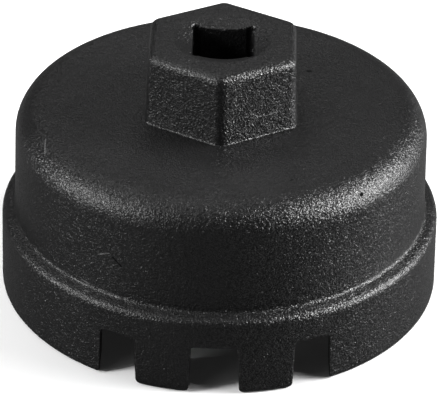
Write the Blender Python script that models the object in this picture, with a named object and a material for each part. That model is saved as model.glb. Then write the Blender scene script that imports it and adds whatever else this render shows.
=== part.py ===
"""Cup-type oil filter wrench: a one-piece aluminium casting.

The cup stands on its open rim. The origin is the centre of the rim plane, +Z runs up the drive
axis, and the notched sides of the rim face -Y and +Y. Lengths are in metres.
"""

import math

import bmesh
import bpy
from mathutils import Vector

MM = 0.001

# Outer shell
RIM_RADIUS = 37.0 * MM
RIM_FILLET = 0.8 * MM
BAND_TOP_RADIUS = 36.75 * MM
BAND_TOP_HEIGHT = 13.5 * MM
BAND_TOP_FILLET = 1.3 * MM
WALL_FOOT_RADIUS = 34.6 * MM
WALL_FOOT_HEIGHT = 14.25 * MM
WALL_FOOT_FILLET = 0.6 * MM
WALL_DRAFT = math.radians(1.4)
SHOULDER_FILLET = 4.7 * MM
DOME_EDGE_HEIGHT = 32.67 * MM
DOME_SLOPE = math.radians(0.35)
DOME_EDGE_RADIUS = WALL_FOOT_RADIUS - (DOME_EDGE_HEIGHT - WALL_FOOT_HEIGHT) * math.tan(WALL_DRAFT)

# Drive hexagon and its square
HEX_TOP_HEIGHT = 45.0 * MM
HEX_ACROSS_FLATS = 24.0 * MM
HEX_DRAFT = math.radians(1.85)
HEX_CORNER_RADIUS = 2.0 * MM
HEX_TOP_FILLET = 1.3 * MM
HEX_FOOT_FILLET = 0.25 * MM
DRIVE_SQUARE = 10.1 * MM
DRIVE_RELIEF_RADIUS = 0.85 * MM
DRIVE_RELIEF_OFFSET = 4.45 * MM
COUNTERSINK_RADIUS = 8.0 * MM
COUNTERSINK_SLOPE = math.radians(20)

# Cup interior
FLUTES = 14
SOCKET_ACROSS_FLATS = 64.5 * MM
SOCKET_DEPTH = 13.0 * MM
SOCKET_LEAD_IN = 0.5 * MM
BORE_RADIUS = 31.0 * MM
BORE_TOP_RADIUS = 30.7 * MM
BORE_CORNER_FILLET = 3.0 * MM
ROOF_THICKNESS = 4.3 * MM

# Rim notches, one wide between two narrow ones, cut along Y on each notched side
NOTCH_HEIGHT = 8.7 * MM
WIDE_NOTCH_WIDTH = 7.6 * MM
NARROW_NOTCH_WIDTH = 5.4 * MM
NARROW_NOTCH_OFFSET = 15.65 * MM
NOTCH_FLANK_DRAFT = math.radians(1.6)
NOTCH_PULL_DRAFT = math.radians(1.5)
NOTCH_ROOF_FILLET = 0.6 * MM
TOOTH_CORNER_RADIUS = 1.0 * MM
NOTCH_WIDTH_RADIUS = 35.0 * MM
NOTCH_INNER_END = 22.0 * MM
NOTCH_OUTER_END = 38.0 * MM

# Facets: the circle count is a multiple of four and of the flutes
CIRCLE_SIDES = 6 * FLUTES
FILLET_STEPS = 4
SHOULDER_STEPS = 9
OVERCUT = 1.0 * MM
TOOTH_CORNER_SINK = 0.05 * MM
SHARP_ANGLE = math.radians(30)


def fillet(before, corner, after, radius, steps):
    """Points of the arc that rounds one corner of an outline, tangent to both of its sides."""
    corner = Vector(corner)
    toward_before = (Vector(before) - corner).normalized()
    toward_after = (Vector(after) - corner).normalized()
    half_angle = toward_before.angle(toward_after) / 2
    tangent = radius / math.tan(half_angle)
    bisector = (toward_before + toward_after).normalized()
    centre = corner + bisector * radius / math.sin(half_angle)
    first = (corner + toward_before * tangent - centre).normalized()
    last = (corner + toward_after * tangent - centre).normalized()
    return [centre + radius * first.slerp(last, step / steps) for step in range(steps + 1)]


def rounded_outline(corners, closed=False):
    """An outline through (x, y, fillet radius, steps) corners; a zero radius stays sharp."""
    points = []
    count = len(corners)
    for index, (x, y, radius, steps) in enumerate(corners):
        is_end = not closed and index in (0, count - 1)
        if radius == 0 or is_end:
            points.append(Vector((x, y)))
            continue
        before = corners[index - 1][:2]
        after = corners[(index + 1) % count][:2]
        points += fillet(before, (x, y), after, radius, steps)
    return points


def ring(outline, height):
    """A flat outline lifted to one height."""
    return [(x, y, height) for x, y in outline]


def circle(radius, sides=CIRCLE_SIDES):
    """Corners of a regular polygon with the given corner radius, the first one at -Y."""
    angles = [2 * math.pi * index / sides - math.pi / 2 for index in range(sides)]
    return [(radius * math.cos(angle), radius * math.sin(angle)) for angle in angles]


def rounded_polygon(across_flats, sides, corner_radius):
    """A regular polygon with rounded corners, the first corner at -Y."""
    corner_distance = across_flats / 2 / math.cos(math.pi / sides)
    corners = []
    for index in range(sides):
        angle = 2 * math.pi * index / sides - math.pi / 2
        x = corner_distance * math.cos(angle)
        y = corner_distance * math.sin(angle)
        corners.append((x, y, corner_radius, FILLET_STEPS))
    return rounded_outline(corners, closed=True)


def loft(name, rings):
    """A closed body through rings of equally many points, flat at its first and last ring."""
    mesh = bpy.data.meshes.new(name)
    body = bmesh.new()
    rows = [[body.verts.new(point) for point in points] for points in rings]
    for lower, upper in zip(rows, rows[1:]):
        for index in range(len(lower)):
            following = (index + 1) % len(lower)
            body.faces.new((lower[index], lower[following], upper[following], upper[index]))
    body.faces.new(reversed(rows[0]))
    body.faces.new(rows[-1])
    if body.calc_volume(signed=True) < 0:
        bmesh.ops.reverse_faces(body, faces=body.faces)
    body.to_mesh(mesh)
    body.free()
    mesh.shade_smooth()
    mesh.set_sharp_from_angle(angle=SHARP_ANGLE)
    item = bpy.data.objects.new(name, mesh)
    bpy.context.scene.collection.objects.link(item)
    return item


def combine(target, tool, operation):
    """Union a tool body with the target, or cut it away, and keep the tool out of the model."""
    tool.hide_render = True
    tool.display_type = 'WIRE'
    boolean = target.modifiers.new(tool.name, 'BOOLEAN')
    boolean.operation = operation
    boolean.solver = 'EXACT'
    boolean.object = tool


def dome_height(radius):
    """Height of the outer roof, a shallow cone, at one distance from the drive axis."""
    return DOME_EDGE_HEIGHT + (DOME_EDGE_RADIUS - radius) * math.tan(DOME_SLOPE)


def outer_shell():
    """The solid outside of the cup: rim, band, sloping ledge, drafted wall, shoulder and roof."""
    roof_end_radius = HEX_ACROSS_FLATS / 3
    profile = rounded_outline([
        (0, 0, 0, 0),
        (RIM_RADIUS, 0, RIM_FILLET, FILLET_STEPS),
        (BAND_TOP_RADIUS, BAND_TOP_HEIGHT, BAND_TOP_FILLET, FILLET_STEPS),
        (WALL_FOOT_RADIUS, WALL_FOOT_HEIGHT, WALL_FOOT_FILLET, FILLET_STEPS),
        (DOME_EDGE_RADIUS, DOME_EDGE_HEIGHT, SHOULDER_FILLET, SHOULDER_STEPS),
        (roof_end_radius, dome_height(roof_end_radius), 0, 0),
    ])
    rings = [ring(circle(radius), height) for radius, height in profile[1:]]
    return loft("wrench_body", rings)


def drive_hexagon():
    """The drafted hexagon on the roof, with rounded corners, top edge and foot."""
    foot_height = dome_height(HEX_ACROSS_FLATS / 2)
    edge_height = HEX_TOP_HEIGHT - HEX_TOP_FILLET

    def hexagon(height, growth=0.0):
        widening = (HEX_TOP_HEIGHT - height) * math.tan(HEX_DRAFT)
        across_flats = HEX_ACROSS_FLATS + 2 * (widening + growth)
        return ring(rounded_polygon(across_flats, 6, HEX_CORNER_RADIUS + growth), height)

    rings = [hexagon(foot_height - 2 * OVERCUT, HEX_FOOT_FILLET)]
    for step in range(FILLET_STEPS + 1):
        angle = math.pi / 2 * step / FILLET_STEPS
        rise = HEX_FOOT_FILLET * (1 - math.cos(angle))
        rings.append(hexagon(foot_height + rise, HEX_FOOT_FILLET * (1 - math.sin(angle))))
    for step in range(FILLET_STEPS + 1):
        angle = math.pi / 2 * step / FILLET_STEPS
        rise = HEX_TOP_FILLET * math.sin(angle)
        rings.append(hexagon(edge_height + rise, -HEX_TOP_FILLET * (1 - math.cos(angle))))
    return loft("drive_hexagon_tool", rings)


def bore_cutter():
    """The round inside of the cup, with a filleted roof corner."""
    roof = dome_height(0) - ROOF_THICKNESS
    profile = rounded_outline([
        (0, -OVERCUT, 0, 0),
        (BORE_RADIUS, -OVERCUT, 0, 0),
        (BORE_TOP_RADIUS, roof, BORE_CORNER_FILLET, FILLET_STEPS),
        (0, roof, 0, 0),
    ])
    rings = [ring(circle(radius), height) for radius, height in profile[1:-1]]
    return loft("bore_cutter", rings)


def socket_cutter():
    """The fluted socket that grips the filter, with a lead-in bevel at its mouth."""
    corner_scale = 1 / math.cos(math.pi / FLUTES)
    flat_distance = SOCKET_ACROSS_FLATS / 2
    levels = [
        (-OVERCUT, SOCKET_LEAD_IN + OVERCUT),
        (SOCKET_LEAD_IN, 0),
        (SOCKET_DEPTH, 0),
    ]
    rings = []
    for height, growth in levels:
        polygon = circle((flat_distance + growth) * corner_scale, FLUTES)
        rings.append(ring(polygon, height))
    return loft("socket_cutter", rings)


def relieved_square():
    """The drive square, each corner opened by a round relief so that the tang's edges clear."""
    side = DRIVE_SQUARE / 2
    lead = math.asin((side - DRIVE_RELIEF_OFFSET) / DRIVE_RELIEF_RADIUS)
    sweep = 3 * math.pi / 2 - 2 * lead
    steps = 2 * FILLET_STEPS
    points = []
    for quarter in range(4):
        corner = math.pi / 4 + quarter * math.pi / 2
        centre = Vector((math.cos(corner), math.sin(corner))) * DRIVE_RELIEF_OFFSET * math.sqrt(2)
        for step in range(steps + 1):
            angle = corner - sweep / 2 + sweep * step / steps
            points.append(centre + DRIVE_RELIEF_RADIUS * Vector((math.cos(angle), math.sin(angle))))
    return points


def square_cutter():
    """The square drive hole, through the hexagon and the roof."""
    square = relieved_square()
    low = dome_height(0) - ROOF_THICKNESS - OVERCUT
    return loft("square_cutter", [ring(square, low), ring(square, HEX_TOP_HEIGHT + OVERCUT)])


def countersink_cutter():
    """The shallow cone that leads into the drive square."""
    slope = math.tan(COUNTERSINK_SLOPE)
    tip_radius = DRIVE_SQUARE / 4
    sides = CIRCLE_SIDES // 2
    low = ring(circle(tip_radius, sides), HEX_TOP_HEIGHT - (COUNTERSINK_RADIUS - tip_radius) * slope)
    high_radius = COUNTERSINK_RADIUS + OVERCUT
    high = ring(circle(high_radius, sides), HEX_TOP_HEIGHT + OVERCUT * slope)
    return loft("countersink_cutter", [low, high])


def notch_outline(half_width):
    """The notch seen along Y: flanks that open downwards and round out into the tooth corners."""
    foot = half_width + NOTCH_HEIGHT * math.tan(NOTCH_FLANK_DRAFT)
    side = foot + 2 * TOOTH_CORNER_RADIUS
    right_side = [
        (side, -OVERCUT, 0, 0),
        (side, -TOOTH_CORNER_SINK, 0, 0),
        (foot, -TOOTH_CORNER_SINK, TOOTH_CORNER_RADIUS, FILLET_STEPS),
        (half_width, NOTCH_HEIGHT, NOTCH_ROOF_FILLET, FILLET_STEPS // 2),
    ]
    left_side = [(-x, z, radius, steps) for x, z, radius, steps in reversed(right_side)]
    return rounded_outline(right_side + left_side, closed=True)


def notch_cutter(name, centre_x, width, side):
    """One rim notch, widening outwards along Y; side is -1 for the -Y face and 1 for +Y."""
    rings = []
    for distance in (NOTCH_INNER_END, NOTCH_OUTER_END):
        widening = (distance - NOTCH_WIDTH_RADIUS) * math.tan(NOTCH_PULL_DRAFT)
        outline = notch_outline(width / 2 + widening)
        rings.append([(centre_x + x, side * distance, z) for x, z in outline])
    return loft(name, rings)


def notch_cutters():
    """The three notches of each notched side."""
    cutters = []
    for side_name, side in (("front", -1), ("back", 1)):
        for place, centre_x, width in (
            ("left", -NARROW_NOTCH_OFFSET, NARROW_NOTCH_WIDTH),
            ("middle", 0.0, WIDE_NOTCH_WIDTH),
            ("right", NARROW_NOTCH_OFFSET, NARROW_NOTCH_WIDTH),
        ):
            cutters.append(notch_cutter(f"{side_name}_{place}_notch_cutter", centre_x, width, side))
    return cutters


def black_coating():
    """Matte black powder coat."""
    material = bpy.data.materials.new("black_powder_coat")
    material.use_nodes = True
    shader = material.node_tree.nodes["Principled BSDF"]
    shader.inputs["Base Color"].default_value = (0.013, 0.013, 0.014, 1.0)
    shader.inputs["Roughness"].default_value = 0.5
    shader.inputs["Metallic"].default_value = 0.0
    return material


def main():
    for item in list(bpy.data.objects):
        bpy.data.objects.remove(item, do_unlink=True)

    wrench = outer_shell()
    wrench.data.materials.append(black_coating())
    combine(wrench, drive_hexagon(), 'UNION')
    cutters = [bore_cutter(), socket_cutter(), square_cutter(), countersink_cutter()]
    for cutter in cutters + notch_cutters():
        combine(wrench, cutter, 'DIFFERENCE')


main()
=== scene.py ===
"""Looks of the cup-type oil filter wrench: the finished casting, its coating, and the studio.

The casting is one closed grid of quads, a row for each level of its section and a column for each
direction round the drive axis. Lengths are in metres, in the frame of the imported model.
"""

import math

import bpy
import numpy as np
from mathutils import Matrix, Vector


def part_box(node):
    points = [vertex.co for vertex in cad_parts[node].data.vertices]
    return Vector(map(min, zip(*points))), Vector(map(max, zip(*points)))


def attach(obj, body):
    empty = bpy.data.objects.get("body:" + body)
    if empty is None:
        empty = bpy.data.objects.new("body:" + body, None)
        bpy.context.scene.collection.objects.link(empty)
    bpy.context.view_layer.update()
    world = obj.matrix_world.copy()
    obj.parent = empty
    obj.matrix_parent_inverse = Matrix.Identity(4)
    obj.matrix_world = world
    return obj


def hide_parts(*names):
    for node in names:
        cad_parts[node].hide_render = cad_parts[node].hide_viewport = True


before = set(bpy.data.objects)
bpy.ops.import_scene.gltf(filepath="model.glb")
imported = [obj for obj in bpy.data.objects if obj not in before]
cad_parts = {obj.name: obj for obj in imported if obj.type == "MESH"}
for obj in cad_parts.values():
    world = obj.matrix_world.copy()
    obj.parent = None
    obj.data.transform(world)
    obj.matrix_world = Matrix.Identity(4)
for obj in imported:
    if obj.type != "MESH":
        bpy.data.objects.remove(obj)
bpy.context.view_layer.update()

MM = 0.001
BODY_NODE = "wrench_body"
body_low, body_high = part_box(BODY_NODE)

# Outer shell, as in the CAD model
RIM_RADIUS = body_high.x
RIM_FILLET = 0.8 * MM
BAND_TOP_RADIUS = RIM_RADIUS - 0.25 * MM
BAND_TOP_HEIGHT = 13.5 * MM
BAND_TOP_FILLET = 1.3 * MM
WALL_FOOT_RADIUS = 34.6 * MM
WALL_FOOT_HEIGHT = 14.25 * MM
WALL_FOOT_FILLET = 0.6 * MM
WALL_DRAFT = math.radians(1.4)
SHOULDER_FILLET = 4.7 * MM
DOME_EDGE_HEIGHT = 32.67 * MM
DOME_SLOPE = math.radians(0.35)
DOME_EDGE_RADIUS = WALL_FOOT_RADIUS - (DOME_EDGE_HEIGHT - WALL_FOOT_HEIGHT) * math.tan(WALL_DRAFT)

# Drive hexagon and its square
HEX_TOP_HEIGHT = body_high.z
HEX_ACROSS_FLATS = 24.0 * MM
HEX_DRAFT = math.radians(1.85)
HEX_CORNER_RADIUS = 2.0 * MM
HEX_TOP_FILLET = 1.3 * MM
HEX_FOOT_FILLET = 0.25 * MM
DRIVE_SQUARE = 10.1 * MM
DRIVE_RELIEF_RADIUS = 0.85 * MM
DRIVE_RELIEF_OFFSET = 4.45 * MM
DRIVE_EDGE_FILLET = 0.25 * MM
COUNTERSINK_RADIUS = 8.0 * MM
COUNTERSINK_SLOPE = math.radians(20)
COUNTERSINK_EDGE = 0.2 * MM

# Cup interior
FLUTES = 14
SOCKET_ACROSS_FLATS = 64.5 * MM
SOCKET_DEPTH = 13.0 * MM
SOCKET_CORNER_RADIUS = 1.0 * MM
SOCKET_LEAD_IN = 0.5 * MM
BORE_RADIUS = 30.87 * MM
BORE_TOP_RADIUS = 30.7 * MM
BORE_CORNER_FILLET = 3.0 * MM
ROOF_THICKNESS = 4.3 * MM
LEDGE_EDGE_FILLET = 0.3 * MM

# Rim notches
NOTCH_HEIGHT = 8.7 * MM
WIDE_NOTCH_WIDTH = 7.6 * MM
NARROW_NOTCH_WIDTH = 5.4 * MM
NARROW_NOTCH_OFFSET = 15.65 * MM
NOTCH_FLANK_DRAFT = math.radians(1.6)
NOTCH_PULL_SHIFT = 0.06 * MM
NOTCH_ROOF_FILLET = 0.6 * MM
NOTCH_EDGE_FILLET = 0.3 * MM
TOOTH_CORNER_RADIUS = 1.0 * MM
RIM_ZONE_HEIGHT = 12.0 * MM

# The coating's relief: scales of the noise per metre, the part of its range used, and heights
GRAIN_SCALE = 3300.0
GRAIN_RANGE = (0.3, 0.75)
GRAIN_HEIGHT = 0.05 * MM
PIMPLE_SCALE = GRAIN_SCALE / 3
PIMPLE_RANGE = (0.4, 0.7)
PIMPLE_HEIGHT = 0.03 * MM
CASTING_SCALE = 350.0
CASTING_HEIGHT = 0.06 * MM
FACET_SCALE = 6500.0
FACET_TILT = 0.42
BUMP_WIDTH = 0.1

# The coating's tones and shine, from one end of its variation to the other
PATCH_SCALE = 120.0
COAT_DARK = (0.003, 0.003, 0.0031, 1)
COAT_LIGHT = (0.007, 0.007, 0.0072, 1)
COAT_SPECULAR = (0.16, 0.54)
COAT_ROUGHNESS = (0.38, 0.3)
ROUGHNESS_RANGE = (0.3, 0.7)

# Lighter sharp edges, chosen by their pointiness and broken up unevenly: partly wear, partly a
# painted highlight
WEAR_AND_HIGHLIGHT_EDGES = (0.55, 0.75)
EDGE_WEAR_AND_HIGHLIGHT_TONE = (0.06, 0.06, 0.06, 1)
EDGE_BREAKUP_SCALE = 500.0
EDGE_BREAKUP_RANGE = (0.35, 0.7)
EDGE_BREAKUP_SHARE = (0.25, 1)

# Handling marks, as (start, end, width) in millimetres
SCRATCH_TONE = (0.07, 0.07, 0.07, 1)
SCRATCHES = [
    ((-28.3, -12.6, 32.4), (-28.2, -16.2, 31.8), 0.35),
    ((-28.4, -17.6, 31.3), (-28.2, -18.2, 31.0), 0.6),
    ((-26.9, -18.3, 31.5), (-26.5, -18.5, 31.5), 0.5),
    ((-18.9, -28.8, 21.0), (-17.1, -29.9, 21.9), 0.25),
    ((-21.7, -26.9, 14.9), (-20.5, -27.9, 14.7), 0.3),
    ((-21.1, -28.6, 13.9), (-20.6, -29.0, 13.9), 0.4),
    ((-19.3, -31.0, 13.4), (-19.0, -31.3, 13.3), 0.6),
    ((5.1, -11.2, 37.3), (6.2, -10.6, 36.6), 0.2),
    ((6.2, -10.6, 36.6), (7.6, -9.8, 36.4), 0.2),
    ((7.6, -9.8, 36.4), (9.0, -9.0, 36.6), 0.2),
]
PITS = [
    ((14.4, 11.8, 32.7), (14.7, 11.8, 32.7), 0.9),
    ((22.7, -24.5, 30.7), (22.9, -24.3, 30.8), 0.8),
    ((11.5, -23.9, 32.7), (11.7, -23.7, 32.7), 0.5),
    ((-16.5, -30.2, 21.4), (-15.1, -31.0, 20.2), 0.4),
]

# The studio floor: its tone as it is seen and as it shows in the coating, and its faint light
FLOOR_SIZE = 6.0
FLOOR_SEEN = (0.9, 0.9, 0.9, 1)
FLOOR_MIRRORED = (0.12, 0.12, 0.12, 1)
FLOOR_ROUGHNESS = 0.9
FLOOR_GLOW = 0.01
WHITE = (1, 1, 1, 1)

# Soft square lights round the tool: name, azimuth and elevation in degrees, size, power
STUDIO_LIGHTS = [
    ("right_low", 92, 8, 0.5, 23.0),
    ("right", 92, 25, 0.2, 10.0),
    ("right_high_front", 76, 38, 0.25, 2.6),
    ("right_high_back", 108, 38, 0.25, 4.0),
    ("left_low", -72, 12, 0.5, 5.0),
    ("left", -72, 28, 0.2, 9.0),
    ("left_front", -50, 12, 0.5, 0.8),
    ("left_top", -90, 60, 0.4, 2.4),
    ("overhead", 0, 88, 0.5, 0.5),
    ("back_left", -145, 50, 0.4, 1.0),
    ("behind", 180, 50, 0.4, 0.8),
    ("behind_low", 180, 20, 0.4, 0.15),
    ("back_right", 145, 50, 0.4, 0.3),
]
LIGHT_DISTANCE = 1.0
LIGHT_AIM = Vector((0, 0, HEX_TOP_HEIGHT / 2))
WORLD_STRENGTH = 0.003

# The camera: a long lens in front of the tool and above it, turned, tipped down and rolled
CAMERA_PLACE = (0.004635, -0.40804, 0.26563)
CAMERA_HEADING = math.radians(0.67)
CAMERA_DIP = math.radians(31.694)
CAMERA_ROLL = math.radians(1.12)
CAMERA_LENS = 232.7
SENSOR_WIDTH = 36
CAMERA_REACH = (0.01, 10)

# The grid. The columns divide evenly between the flutes, the hexagon's and the square's corners.
# The turned rows start outside the hexagon, and past the last notch the columns, which run
# straight back through the wall there, turn radial again.
COLUMNS = 48 * FLUTES
ROW_SPACING = 2.4 * MM
GUARD = 0.15 * MM
TURNED_ROWS_RADIUS = 17.0 * MM
LAST_NOTCH_ANGLE = math.radians(33)
RADIAL_ANGLE = math.radians(66)
column_angles = 2 * math.pi * np.arange(COLUMNS) / COLUMNS


def smooth_step(t):
    t = np.clip(t, 0.0, 1.0)
    return t * t * (3 - 2 * t)


def quarter_circle(steps, first=0):
    """Angles from 0 to a right angle, from the given step on."""
    return [math.pi / 2 * step / steps for step in range(first, steps + 1)]


def at(radius, angle, height):
    """Points by distance from the drive axis, angle from the front (-Y) towards +X, and height."""
    radius, angle, height = np.broadcast_arrays(radius, angle, height)
    return np.stack([radius * np.sin(angle), -radius * np.cos(angle), height], axis=-1)


def polygon_radius(angle, across_flats, sides, corner_radius):
    """Distance from the axis to a polygon with rounded corners, one of them at angle 0."""
    half = math.pi / sides
    apothem = across_flats / 2
    from_corner = np.abs((angle + half) % (2 * half) - half)
    centre = (apothem - corner_radius) / math.cos(half)
    arc_end = half - math.atan((apothem - corner_radius) * math.tan(half) / apothem)
    flat = apothem / np.cos(half - from_corner)
    inside = np.maximum(corner_radius ** 2 - (centre * np.sin(from_corner)) ** 2, 0.0)
    arc = centre * np.cos(from_corner) + np.sqrt(inside)
    return np.where(from_corner < arc_end, arc, flat)


def socket_radius(angle):
    return polygon_radius(angle, SOCKET_ACROSS_FLATS, FLUTES, SOCKET_CORNER_RADIUS)


def square_radius(angle, growth=0.0):
    """Distance from the axis to the drive square, whose corners have round reliefs."""
    from_corner = np.abs(angle % (math.pi / 2) - math.pi / 4)
    side = (DRIVE_SQUARE / 2 + growth) / np.cos(math.pi / 4 - from_corner)
    centre = DRIVE_RELIEF_OFFSET * math.sqrt(2)
    inside = (DRIVE_RELIEF_RADIUS + growth) ** 2 - (centre * np.sin(from_corner)) ** 2
    relief = centre * np.cos(from_corner) + np.sqrt(np.maximum(inside, 0.0))
    return np.where(inside > 0, np.maximum(side, relief), side)


def dome_height(radius):
    return DOME_EDGE_HEIGHT + (DOME_EDGE_RADIUS - radius) * math.tan(DOME_SLOPE)


def countersink_height(radius):
    return HEX_TOP_HEIGHT - (COUNTERSINK_RADIUS - radius) * math.tan(COUNTERSINK_SLOPE)


def band_radius(height):
    return RIM_RADIUS - (RIM_RADIUS - BAND_TOP_RADIUS) * height / BAND_TOP_HEIGHT


def straight_run(start, end):
    """Points along a straight stretch, close together at both ends so that its shading is flat."""
    start, end = np.array(start), np.array(end)
    length = np.linalg.norm(end - start)
    guard = min(GUARD, length / 3) / length
    count = max(1, round(length / ROW_SPACING))
    shares = [0.0] + [guard + (1 - 2 * guard) * step / count for step in range(count + 1)]
    return [start + (end - start) * share for share in shares]


def turned_profile(corners):
    """(radius, height) points through (radius, height, fillet, steps) corners, ends included."""
    stretches = [[np.array(corners[0][:2])]]
    for before, corner, after in zip(corners, corners[1:], corners[2:]):
        point = Vector(corner[:2])
        back = (Vector(before[:2]) - point).normalized()
        ahead = (Vector(after[:2]) - point).normalized()
        half = back.angle(ahead) / 2
        tangent = corner[2] / math.tan(half)
        centre = point + (back + ahead).normalized() * corner[2] / math.sin(half)
        first = (point + back * tangent - centre).normalized()
        last = (point + ahead * tangent - centre).normalized()
        steps = corner[3]
        arc = [centre + corner[2] * first.slerp(last, step / steps) for step in range(steps + 1)]
        stretches.append([np.array(p) for p in arc])
    stretches.append([np.array(corners[-1][:2])])
    points = []
    for stretch, following in zip(stretches, stretches[1:]):
        points += stretch[:-1]
        points += straight_run(stretch[-1], following[0])
    return points + stretches[-1]


class RimEdge:
    """The lower edge of the rim on the outer surface, notches included, for every column.

    It follows one quarter of the rim from the middle of the wide notch, as x and height, and the
    other quarters mirror it. Each piece of the edge takes a share of the columns, and its inward
    direction, which points into the metal, turns with it.
    """

    def __init__(self):
        self.quarter_angle = (column_angles + math.pi / 2) % math.pi - math.pi / 2
        self.sign = np.where(self.quarter_angle < 0, -1.0, 1.0)
        self.angle = np.abs(self.quarter_angle)
        self.is_back = np.floor((column_angles + math.pi / 2) / math.pi) % 2 == 1
        self.reach = RIM_RADIUS * np.sin(self.angle)
        self.x = np.zeros(COLUMNS)
        self.z = np.zeros(COLUMNS)
        self.inward = np.zeros((COLUMNS, 2))
        self.notched = np.zeros(COLUMNS)
        self.pull = np.zeros(COLUMNS)
        self.place = 0.0

    def take(self, end):
        """The next columns, up to a column position along X, and their share of the piece."""
        mask = (self.reach >= self.place) & (self.reach < end)
        share = (self.reach[mask] - self.place) / (end - self.place)
        self.place = end
        return mask, share

    def line(self, end, start_xz, end_xz, inward, notched=(1, 1), pull=(0, 0)):
        mask, t = self.take(end)
        self.x[mask] = start_xz[0] + (end_xz[0] - start_xz[0]) * t
        self.z[mask] = start_xz[1] + (end_xz[1] - start_xz[1]) * t
        self.inward[mask] = inward
        self.notched[mask] = notched[0] + (notched[1] - notched[0]) * t
        self.pull[mask] = pull[0] + (pull[1] - pull[0]) * t

    def arc(self, end, centre, radius, start, turn, facing, notched=(1, 1), pull=0.0):
        """A quarter turn; facing is 1 where the metal lies outside the arc, -1 where inside."""
        mask, t = self.take(end)
        angle = start + turn * math.pi / 2 * t
        self.x[mask] = centre[0] + radius * np.cos(angle)
        self.z[mask] = centre[1] + radius * np.sin(angle)
        self.inward[mask] = facing * np.stack([np.cos(angle), np.sin(angle)], axis=1)
        self.notched[mask] = notched[0] + (notched[1] - notched[0]) * smooth_step(t)
        self.pull[mask] = pull


def rim_edge():
    """Lay out the wide notch, one tooth, one narrow notch and the plain rim.

    The first value of each line or arc is the distance along X where its columns end.
    """
    edge = RimEdge()
    top, roof, tooth = NOTCH_HEIGHT, NOTCH_ROOF_FILLET, TOOTH_CORNER_RADIUS
    spread = NOTCH_HEIGHT * math.tan(NOTCH_FLANK_DRAFT)
    wide = WIDE_NOTCH_WIDTH / 2
    narrow = NARROW_NOTCH_WIDTH / 2
    near, far = NARROW_NOTCH_OFFSET - narrow, NARROW_NOTCH_OFFSET + narrow
    shift = NOTCH_PULL_SHIFT
    up, left, down = math.pi / 2, math.pi, -math.pi / 2

    edge.line(2.6 * MM, (0, top), (wide - roof, top), (0, 1), pull=(0, -shift))
    edge.arc(3.7 * MM, (wide - roof, top - roof), roof, up, -1, 1, pull=-shift)
    foot = wide + spread
    edge.line(5.7 * MM, (wide, top - roof), (foot, tooth), (1, 0), pull=(-shift, -shift))
    edge.arc(7.0 * MM, (foot + tooth, tooth), tooth, left, 1, -1, (1, 0), -shift)
    near_foot = near - spread
    edge.line(10.4 * MM, (foot + tooth, 0), (near_foot - tooth, 0), (0, 1), (0, 0),
              (-shift, shift))
    edge.arc(11.7 * MM, (near_foot - tooth, tooth), tooth, down, 1, -1, (0, 1), shift)
    edge.line(13.3 * MM, (near_foot, tooth), (near, top - roof), (-1, 0), pull=(shift, shift))
    edge.arc(14.3 * MM, (near + roof, top - roof), roof, left, -1, 1, pull=shift)
    edge.line(17.3 * MM, (near + roof, top), (far - roof, top), (0, 1), pull=(shift, -shift))
    edge.arc(18.3 * MM, (far - roof, top - roof), roof, up, -1, 1, pull=-shift)
    far_foot = far + spread
    edge.line(20.5 * MM, (far, top - roof), (far_foot, tooth), (1, 0), pull=(-shift, -shift))
    edge.arc(22.0 * MM, (far_foot + tooth, tooth), tooth, left, 1, -1, (1, 0), -shift)

    edge.outer_angle = np.arcsin(edge.x / band_radius(edge.z))
    plain = edge.reach >= edge.place
    first = math.asin(edge.place / RIM_RADIUS)
    start = math.asin((far_foot + tooth) / RIM_RADIUS)
    share = (edge.angle[plain] - first) / (math.pi / 2 - first)
    edge.outer_angle[plain] = start + (math.pi / 2 - start) * share
    edge.inward[plain] = (0, 1)
    return edge


def inner_angle(outer_angle, pull=0.0):
    """Angle on the socket wall of the point straight behind one on the rim, along Y.

    Past the last notch the two angles come together again, so that the sides stay radial.
    """
    def behind(angle):
        x = RIM_RADIUS * np.sin(angle) + pull
        found = angle
        for _ in range(6):
            found = np.arcsin(x / socket_radius(found))
        return found

    notched_angle = np.minimum(outer_angle, LAST_NOTCH_ANGLE)
    offset = behind(notched_angle) - notched_angle
    fade = smooth_step((outer_angle - LAST_NOTCH_ANGLE) / (RADIAL_ANGLE - LAST_NOTCH_ANGLE))
    return outer_angle + offset * (1 - fade)


def place_quarters(edge, radius, angle, height):
    """Points of the quarter layout put in all four quarters."""
    signed = edge.sign * angle + np.where(edge.is_back, math.pi, 0.0)
    return at(radius, signed, height)


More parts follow.
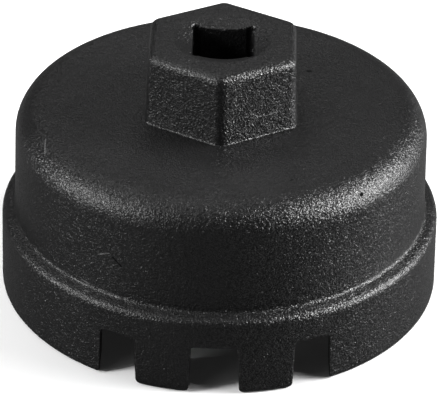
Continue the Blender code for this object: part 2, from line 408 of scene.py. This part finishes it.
def rim_zone(edge):
    """Rows from the outer surface round the rim's edge to the inner surface."""
    outer_fillet = NOTCH_EDGE_FILLET + (RIM_FILLET - NOTCH_EDGE_FILLET) * (1 - edge.notched)
    inner_fillet = NOTCH_EDGE_FILLET + (SOCKET_LEAD_IN - NOTCH_EDGE_FILLET) * (1 - edge.notched)
    inner_edge_angle = inner_angle(edge.outer_angle, edge.pull)
    inner_top_angle = inner_angle(edge.angle)
    radial = np.stack([-np.sin(edge.outer_angle), np.cos(edge.outer_angle)], axis=1)
    depth_way = edge.notched[:, None] * np.array([0.0, 1.0]) + (1 - edge.notched[:, None]) * radial
    depth_way /= np.linalg.norm(depth_way, axis=1, keepdims=True)

    def surface(inside, offset, depth):
        """A row beside the edge: offset along the wall, and depth into the metal below it."""
        edge_angle = inner_edge_angle if inside else edge.outer_angle
        wall = socket_radius(edge_angle) if inside else band_radius(edge.z)
        angle = edge_angle + edge.inward[:, 0] * offset / wall
        height = edge.z + edge.inward[:, 1] * offset
        radius = socket_radius(angle) if inside else band_radius(height)
        x = radius * np.sin(angle) + depth * depth_way[:, 0]
        y = -radius * np.cos(angle) + depth * depth_way[:, 1]
        return place_quarters(edge, np.hypot(x, y), np.arctan2(x, -y), height)

    def blend(inside, share):
        """A row between the level top of the zone and the edge's fillet."""
        edge_angle = inner_edge_angle if inside else edge.outer_angle
        fillet = inner_fillet if inside else outer_fillet
        wall = socket_radius(edge_angle) if inside else band_radius(edge.z)
        end_angle = edge_angle + edge.inward[:, 0] * fillet / wall
        end_height = edge.z + edge.inward[:, 1] * fillet
        top_angle = inner_top_angle if inside else edge.angle
        angle = top_angle + (end_angle - top_angle) * share
        height = RIM_ZONE_HEIGHT + (end_height - RIM_ZONE_HEIGHT) * share
        radius = socket_radius(angle) if inside else band_radius(height)
        return place_quarters(edge, radius, angle, height)

    rows = [blend(False, share) for share in np.linspace(0, 0.97, 11)]
    for turn in quarter_circle(4):
        offset = outer_fillet * (1 - math.sin(turn))
        rows.append(surface(False, offset, outer_fillet * (1 - math.cos(turn))))
    inner_rows = []
    for turn in reversed(quarter_circle(3)):
        offset = inner_fillet * (1 - math.sin(turn))
        inner_rows.append(surface(True, offset, -inner_fillet * (1 - math.cos(turn))))
    outer_end = rows[-1]
    for share in (0.05, 0.3, 0.5, 0.7, 0.95):
        rows.append(outer_end + (inner_rows[0] - outer_end) * share)
    rows += inner_rows
    rows += [blend(True, share) for share in np.linspace(0.97, 0, 7)]
    return rows


def interior_rows():
    """Rows up the inside, from the top of the rim zone to the drive hole's lower edge."""
    angle = np.abs((column_angles + math.pi / 2) % math.pi - math.pi / 2)
    shifted = column_angles + np.sign(np.sin(2 * column_angles)) * (inner_angle(angle) - angle)
    roof = dome_height(0) - ROOF_THICKNESS

    def socket_ring(growth, height):
        return at(socket_radius(shifted) + growth, shifted, height)

    corner = LEDGE_EDGE_FILLET
    rows = [socket_ring(0, SOCKET_DEPTH - corner)]
    for turn in quarter_circle(2, 1):
        inset = corner * (1 - math.cos(turn))
        rows.append(socket_ring(-inset, SOCKET_DEPTH - corner * (1 - math.sin(turn))))
    ledge_radius = BORE_RADIUS + 2 * corner
    roof_radius = BORE_TOP_RADIUS - 1.2 * BORE_CORNER_FILLET
    profile = turned_profile([
        (ledge_radius, SOCKET_DEPTH, 0, 0),
        (BORE_RADIUS, SOCKET_DEPTH, corner, 3),
        (BORE_TOP_RADIUS, roof, BORE_CORNER_FILLET, 6),
        (roof_radius, roof, 0, 0),
    ])
    for index, (radius, height) in enumerate(profile):
        share = smooth_step(index / (len(profile) - 1))
        rows.append(at(radius, shifted + (column_angles - shifted) * share, height))
    fillet = DRIVE_EDGE_FILLET
    lower_edge = square_radius(column_angles, fillet)
    for share in (0.2, 0.4, 0.6, 0.8, 0.97):
        radius = roof_radius + (lower_edge - roof_radius) * share
        rows.append(at(radius, column_angles, roof))
    for turn in quarter_circle(3):
        growth = fillet * (1 - math.sin(turn))
        height = roof + fillet * (1 - math.cos(turn))
        rows.append(at(square_radius(column_angles, growth), column_angles, height))
    return rows


def drive_hole_rows():
    """Rows up the square hole and out over the countersink to the hexagon's flat top."""
    fillet = DRIVE_EDGE_FILLET
    low = dome_height(0) - ROOF_THICKNESS + fillet
    cone_end = square_radius(column_angles, fillet)
    edge = countersink_height(cone_end)
    rows = []
    for share in (0.02, 0.33, 0.67, 0.98):
        height = low + (edge - fillet - low) * share
        rows.append(at(square_radius(column_angles), column_angles, height))
    for turn in reversed(quarter_circle(3)):
        growth = fillet * (1 - math.sin(turn))
        height = edge - fillet * (1 - math.cos(turn))
        rows.append(at(square_radius(column_angles, growth), column_angles, height))
    cone_rim = COUNTERSINK_RADIUS - COUNTERSINK_EDGE
    for share in (0.05, 0.5, 1.0):
        radius = cone_end + (cone_rim - cone_end) * share
        rows.append(at(radius, column_angles, countersink_height(radius)))
    middle = HEX_TOP_HEIGHT - COUNTERSINK_EDGE / 4 * math.tan(COUNTERSINK_SLOPE)
    rows.append(at(COUNTERSINK_RADIUS, column_angles, middle))
    rows.append(at(COUNTERSINK_RADIUS + COUNTERSINK_EDGE, column_angles, HEX_TOP_HEIGHT))
    return rows


def hexagon_rows():
    """Rows over the hexagon: its flat top, its edge, its drafted sides and its foot."""
    def ring(height, growth=0.0):
        widening = (HEX_TOP_HEIGHT - height) * math.tan(HEX_DRAFT)
        across = HEX_ACROSS_FLATS + 2 * (widening + growth)
        corner = HEX_CORNER_RADIUS + growth
        return polygon_radius(column_angles, across, 6, corner)

    top_rim = ring(HEX_TOP_HEIGHT, -HEX_TOP_FILLET)
    start = COUNTERSINK_RADIUS + COUNTERSINK_EDGE
    rows = []
    for share in (0.5, 0.95):
        rows.append(at(start + (top_rim - start) * share, column_angles, HEX_TOP_HEIGHT))
    for turn in reversed(quarter_circle(6)):
        height = HEX_TOP_HEIGHT - HEX_TOP_FILLET * (1 - math.sin(turn))
        radius = ring(height, -HEX_TOP_FILLET * (1 - math.cos(turn)))
        rows.append(at(radius, column_angles, height))
    high = HEX_TOP_HEIGHT - HEX_TOP_FILLET
    foot = dome_height(HEX_ACROSS_FLATS / 2) + HEX_FOOT_FILLET
    for share in (0.015, 0.2, 0.4, 0.6, 0.8, 0.985):
        height = high + (foot - high) * share
        rows.append(at(ring(height), column_angles, height))
    for turn in reversed(quarter_circle(4)):
        radius = ring(foot, HEX_FOOT_FILLET * (1 - math.sin(turn)))
        height = dome_height(radius) + HEX_FOOT_FILLET * (1 - math.cos(turn))
        rows.append(at(radius, column_angles, height))
    foot_rim = ring(foot, HEX_FOOT_FILLET)
    for share in (0.05, 0.35, 0.65):
        radius = foot_rim + (TURNED_ROWS_RADIUS - foot_rim) * share
        rows.append(at(radius, column_angles, dome_height(radius)))
    return rows


def shell_rows():
    """Rows down the turned outside, from the open roof to the top of the rim zone."""
    profile = turned_profile([
        (TURNED_ROWS_RADIUS, dome_height(TURNED_ROWS_RADIUS), 0, 0),
        (DOME_EDGE_RADIUS, DOME_EDGE_HEIGHT, SHOULDER_FILLET, 14),
        (WALL_FOOT_RADIUS, WALL_FOOT_HEIGHT, WALL_FOOT_FILLET, 4),
        (BAND_TOP_RADIUS, BAND_TOP_HEIGHT, BAND_TOP_FILLET, 6),
        (band_radius(RIM_ZONE_HEIGHT), RIM_ZONE_HEIGHT, 0, 0),
    ])
    return [at(radius, column_angles, height) for radius, height in profile[:-1]]


def build_casting():
    """The whole casting as one closed grid."""
    rows = interior_rows() + drive_hole_rows() + hexagon_rows() + shell_rows()
    rows += rim_zone(rim_edge())
    grid = np.array(rows)
    index = np.arange(len(rows) * COLUMNS).reshape(len(rows), COLUMNS)
    right = np.roll(index, -1, axis=1)
    up = np.roll(index, -1, axis=0)
    up_right = np.roll(right, -1, axis=0)
    faces = np.stack([index, up, up_right, right], axis=-1).reshape(-1, 4)
    mesh = bpy.data.meshes.new("wrench_casting")
    mesh.from_pydata(grid.reshape(-1, 3).tolist(), [], faces.tolist())
    mesh.validate()
    mesh.shade_smooth()
    casting = bpy.data.objects.new("wrench_casting", mesh)
    bpy.context.scene.collection.objects.link(casting)
    return casting


class Shading:
    """A material with its node tree, and short ways to add nodes to it."""

    def __init__(self, name):
        self.material = bpy.data.materials.new(name)
        self.material.use_nodes = True
        self.tree = self.material.node_tree
        self.shader = self.tree.nodes["Principled BSDF"]

    def fill(self, node, inputs):
        """Link or set a node's inputs, given by name or by place."""
        for key, value in inputs.items():
            if isinstance(value, bpy.types.NodeSocket):
                self.tree.links.new(value, node.inputs[key])
            else:
                node.inputs[key].default_value = value

    def add(self, kind, inputs, **settings):
        node = self.tree.nodes.new(kind)
        for name, value in settings.items():
            setattr(node, name, value)
        self.fill(node, inputs)
        return node

    def vector(self, operation, *values, output="Vector"):
        inputs = dict(enumerate(values))
        return self.add("ShaderNodeVectorMath", inputs, operation=operation).outputs[output]

    def scaled(self, vector, factor):
        inputs = {0: vector, "Scale": factor}
        return self.add("ShaderNodeVectorMath", inputs, operation='SCALE').outputs["Vector"]

    def number(self, operation, *values):
        inputs = dict(enumerate(values))
        return self.add("ShaderNodeMath", inputs, operation=operation).outputs["Value"]

    def noise(self, place, scale, detail, roughness=0.5):
        inputs = {"Vector": place, "Scale": scale, "Detail": detail, "Roughness": roughness}
        return self.add("ShaderNodeTexNoise", inputs).outputs["Fac"]

    def ramp(self, value, from_range, to_range=(0, 1)):
        """A smooth step from one range to the other."""
        inputs = {"Value": value, "From Min": from_range[0], "From Max": from_range[1],
                  "To Min": to_range[0], "To Max": to_range[1]}
        node = self.add("ShaderNodeMapRange", inputs, interpolation_type='SMOOTHSTEP')
        return node.outputs["Result"]

    def mix(self, share, below, above):
        inputs = {"Factor": share, "A": below, "B": above}
        return self.add("ShaderNodeMix", inputs, data_type='RGBA').outputs["Result"]

    def bump(self, height, distance, **before):
        """The normal after a relief of the given height, laid over the normal before it."""
        inputs = {"Height": height, "Distance": distance, "Strength": 1.0,
                  "Filter Width": BUMP_WIDTH, **before}
        return self.add("ShaderNodeBump", inputs).outputs["Normal"]


def marks_mask(coat, place, marks):
    """1 along the given marks, each a straight (start, end, width), fading to 0 at its sides."""
    total = 0.0
    for start, end, width in marks:
        run = (Vector(end) - Vector(start)) * MM
        offset = coat.vector('SUBTRACT', place, Vector(start) * MM)
        along = coat.vector('DOT_PRODUCT', offset, run / run.length_squared, output="Value")
        held = coat.add("ShaderNodeClamp", {"Value": along}).outputs["Result"]
        gap = coat.vector('DISTANCE', offset, coat.scaled(run, held), output="Value")
        mark = coat.ramp(gap, (width * MM / 2, width * MM / 4))
        total = coat.number('MAXIMUM', total, mark)
    return total


def coat_normal(coat, place, grain, facets):
    """The uneven casting, pimples and grain, and over them the tilt of each tiny facet."""
    normal = coat.bump(coat.noise(place, CASTING_SCALE, 2.0), CASTING_HEIGHT)
    pimples = coat.ramp(coat.noise(place, PIMPLE_SCALE, 1.0), PIMPLE_RANGE)
    normal = coat.bump(pimples, PIMPLE_HEIGHT, Normal=normal)
    normal = coat.bump(coat.ramp(grain, GRAIN_RANGE), GRAIN_HEIGHT, Normal=normal)
    tilt = coat.scaled(coat.vector('SUBTRACT', facets, (0.5, 0.5, 0.5)), FACET_TILT)
    return coat.vector('NORMALIZE', coat.vector('ADD', normal, tilt))


def coat_tone(coat, place):
    """Cloudy patches of black, with lighter sharp edges that are partly wear and partly a painted
    highlight, and scratches.
    """
    edges = coat.add("ShaderNodeNewGeometry", {}).outputs["Pointiness"]
    edge_breakup = coat.ramp(coat.noise(place, EDGE_BREAKUP_SCALE, 3.0), EDGE_BREAKUP_RANGE, EDGE_BREAKUP_SHARE)
    edge_wear_and_highlight = coat.number('MULTIPLY', coat.ramp(edges, WEAR_AND_HIGHLIGHT_EDGES), edge_breakup)
    tone = coat.mix(coat.noise(place, PATCH_SCALE, 2.0), COAT_DARK, COAT_LIGHT)
    # The sharp edges are lightened here: partly wear, partly a painted highlight along them.
    tone = coat.mix(edge_wear_and_highlight, tone, EDGE_WEAR_AND_HIGHLIGHT_TONE)
    return coat.mix(marks_mask(coat, place, SCRATCHES), tone, SCRATCH_TONE)


def coat_sheen(coat, place, facets):
    """Each facet shines by its own amount, and the pits don't shine at all."""
    share = coat.add("ShaderNodeSeparateXYZ", {"Vector": facets}).outputs["X"]
    unbroken = coat.ramp(marks_mask(coat, place, PITS), (0, 1), (1, 0))
    return coat.number('MULTIPLY', coat.ramp(share, (0, 1), COAT_SPECULAR), unbroken)


def powder_coat():
    """Matte black powder coat: a hard fine grain over a slightly uneven casting."""
    coat = Shading("black_powder_coat")
    place = coat.add("ShaderNodeTexCoord", {}).outputs["Object"]
    grain = coat.noise(place, GRAIN_SCALE, 1.5, roughness=0.6)
    cells = coat.add("ShaderNodeTexVoronoi", {"Vector": place, "Scale": FACET_SCALE})
    facets = cells.outputs["Color"]
    coat.fill(coat.shader, {
        "Base Color": coat_tone(coat, place),
        "Roughness": coat.ramp(grain, ROUGHNESS_RANGE, COAT_ROUGHNESS),
        "Specular IOR Level": coat_sheen(coat, place, facets),
        "Normal": coat_normal(coat, place, grain, facets),
    })
    return coat.material


def studio_floor():
    """A plain white floor, which shows in the coating as a darker grey."""
    bpy.ops.mesh.primitive_plane_add(size=FLOOR_SIZE, location=(0, 0, 0))
    floor = bpy.context.object
    floor.name = "studio_floor"
    white = Shading("white_floor")
    seen = white.add("ShaderNodeLightPath", {}).outputs["Is Camera Ray"]
    white.fill(white.shader, {
        "Base Color": white.mix(seen, FLOOR_MIRRORED, FLOOR_SEEN),
        "Roughness": FLOOR_ROUGHNESS,
        "Specular IOR Level": 0.0,
        "Emission Color": WHITE,
        "Emission Strength": FLOOR_GLOW,
    })
    floor.data.materials.append(white.material)


def soft_light(name, azimuth, elevation, size, power):
    """A square area light aimed at the tool; azimuth 0 is in front, 90 is to the right."""
    light = bpy.data.lights.new(name, 'AREA')
    light.shape = 'SQUARE'
    light.size = size
    light.energy = power
    lamp = bpy.data.objects.new(name, light)
    bpy.context.scene.collection.objects.link(lamp)
    around, above = math.radians(azimuth), math.radians(elevation)
    way = Vector((math.sin(around) * math.cos(above), -math.cos(around) * math.cos(above),
                  math.sin(above)))
    lamp.location = LIGHT_AIM + way * LIGHT_DISTANCE
    lamp.rotation_euler = way.to_track_quat('Z', 'Y').to_euler()


def dim_world():
    """Almost no light from outside the studio lights."""
    world = bpy.data.worlds.new("studio")
    world.use_nodes = True
    world.node_tree.nodes["Background"].inputs["Strength"].default_value = WORLD_STRENGTH
    bpy.context.scene.world = world


def studio_camera():
    data = bpy.data.cameras.new("camera")
    data.sensor_width = SENSOR_WIDTH
    data.lens = CAMERA_LENS
    data.clip_start, data.clip_end = CAMERA_REACH
    camera = bpy.data.objects.new("camera", data)
    bpy.context.scene.collection.objects.link(camera)
    camera.matrix_world = (Matrix.Translation(CAMERA_PLACE)
                           @ Matrix.Rotation(CAMERA_HEADING, 4, 'Z')
                           @ Matrix.Rotation(math.pi / 2 - CAMERA_DIP, 4, 'X')
                           @ Matrix.Rotation(CAMERA_ROLL, 4, 'Z'))
    bpy.context.scene.camera = camera


casting = build_casting()
casting.data.materials.append(powder_coat())
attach(casting, "root")
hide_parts(BODY_NODE)

studio_floor()
for light in STUDIO_LIGHTS:
    soft_light(*light)
dim_world()
studio_camera()
bpy.context.scene.view_settings.view_transform = 'Standard'
